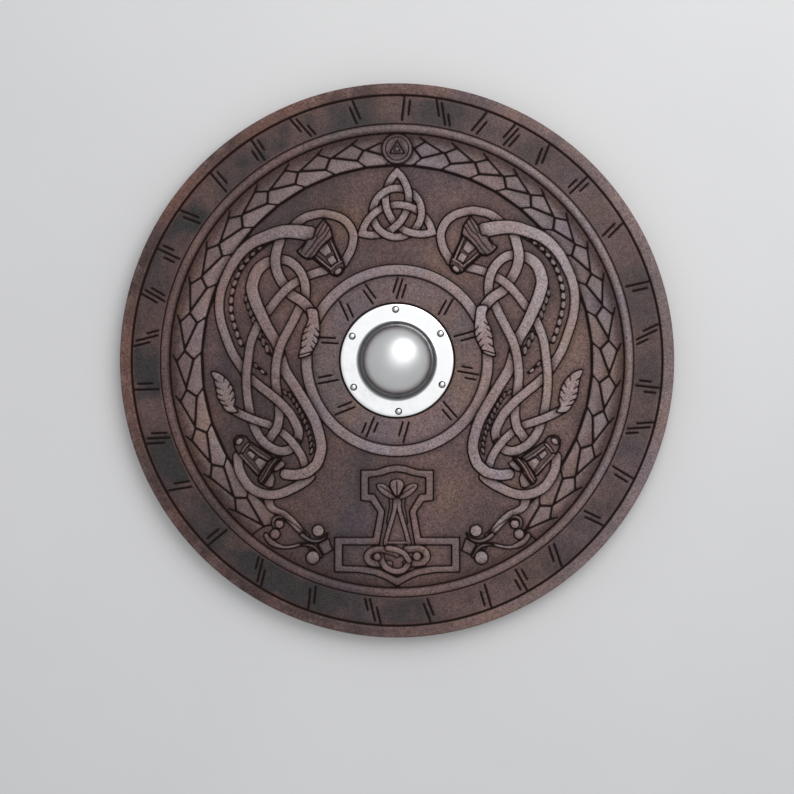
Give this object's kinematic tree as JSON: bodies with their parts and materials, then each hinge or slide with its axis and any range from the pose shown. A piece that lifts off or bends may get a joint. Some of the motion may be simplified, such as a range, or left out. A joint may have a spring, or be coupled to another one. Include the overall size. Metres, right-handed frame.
{
  "type": "round wooden shield",
  "caption": "Round wooden shield with carved interlaced beasts, a knot, a hammer and scale borders, a domed steel boss and a grip across the hand hole.",
  "frame": {"origin": "centre of the flat back", "axes": "+Z out of the carved face, +Y towards the top of the carving, shield lying on its back"},
  "size_m": [0.6, 0.6, 0.0631],
  "materials": {
    "carved_wood": "dark walnut stain with near-black lines in the carving and paler, rubbed tops, thin satin oil",
    "boss_steel": "polished sheet steel, softly scratched",
    "rivet_steel": "polished domed rivet heads",
    "rove_steel": "dull, lightly hammered steel",
    "grip_wood": "brown stained and handled wood, satin",
    "nail_iron": "dark forged iron"
  },
  "bodies": {
    "root": {"board": "carved_wood", "boss": "boss_steel", "grip": "grip_wood", "boss_rivet_1": "rivet_steel", "rove_1": "rove_steel", "boss_rivet_2": "rivet_steel", "rove_2": "rove_steel", "boss_rivet_3": "rivet_steel", "rove_3": "rove_steel", "boss_rivet_4": "rivet_steel", "rove_4": "rove_steel", "boss_rivet_5": "rivet_steel", "rove_5": "rove_steel", "boss_rivet_6": "rivet_steel", "rove_6": "rove_steel", "grip_nail_1": "nail_iron", "grip_nail_2": "nail_iron"}
  },
  "joints": []
}
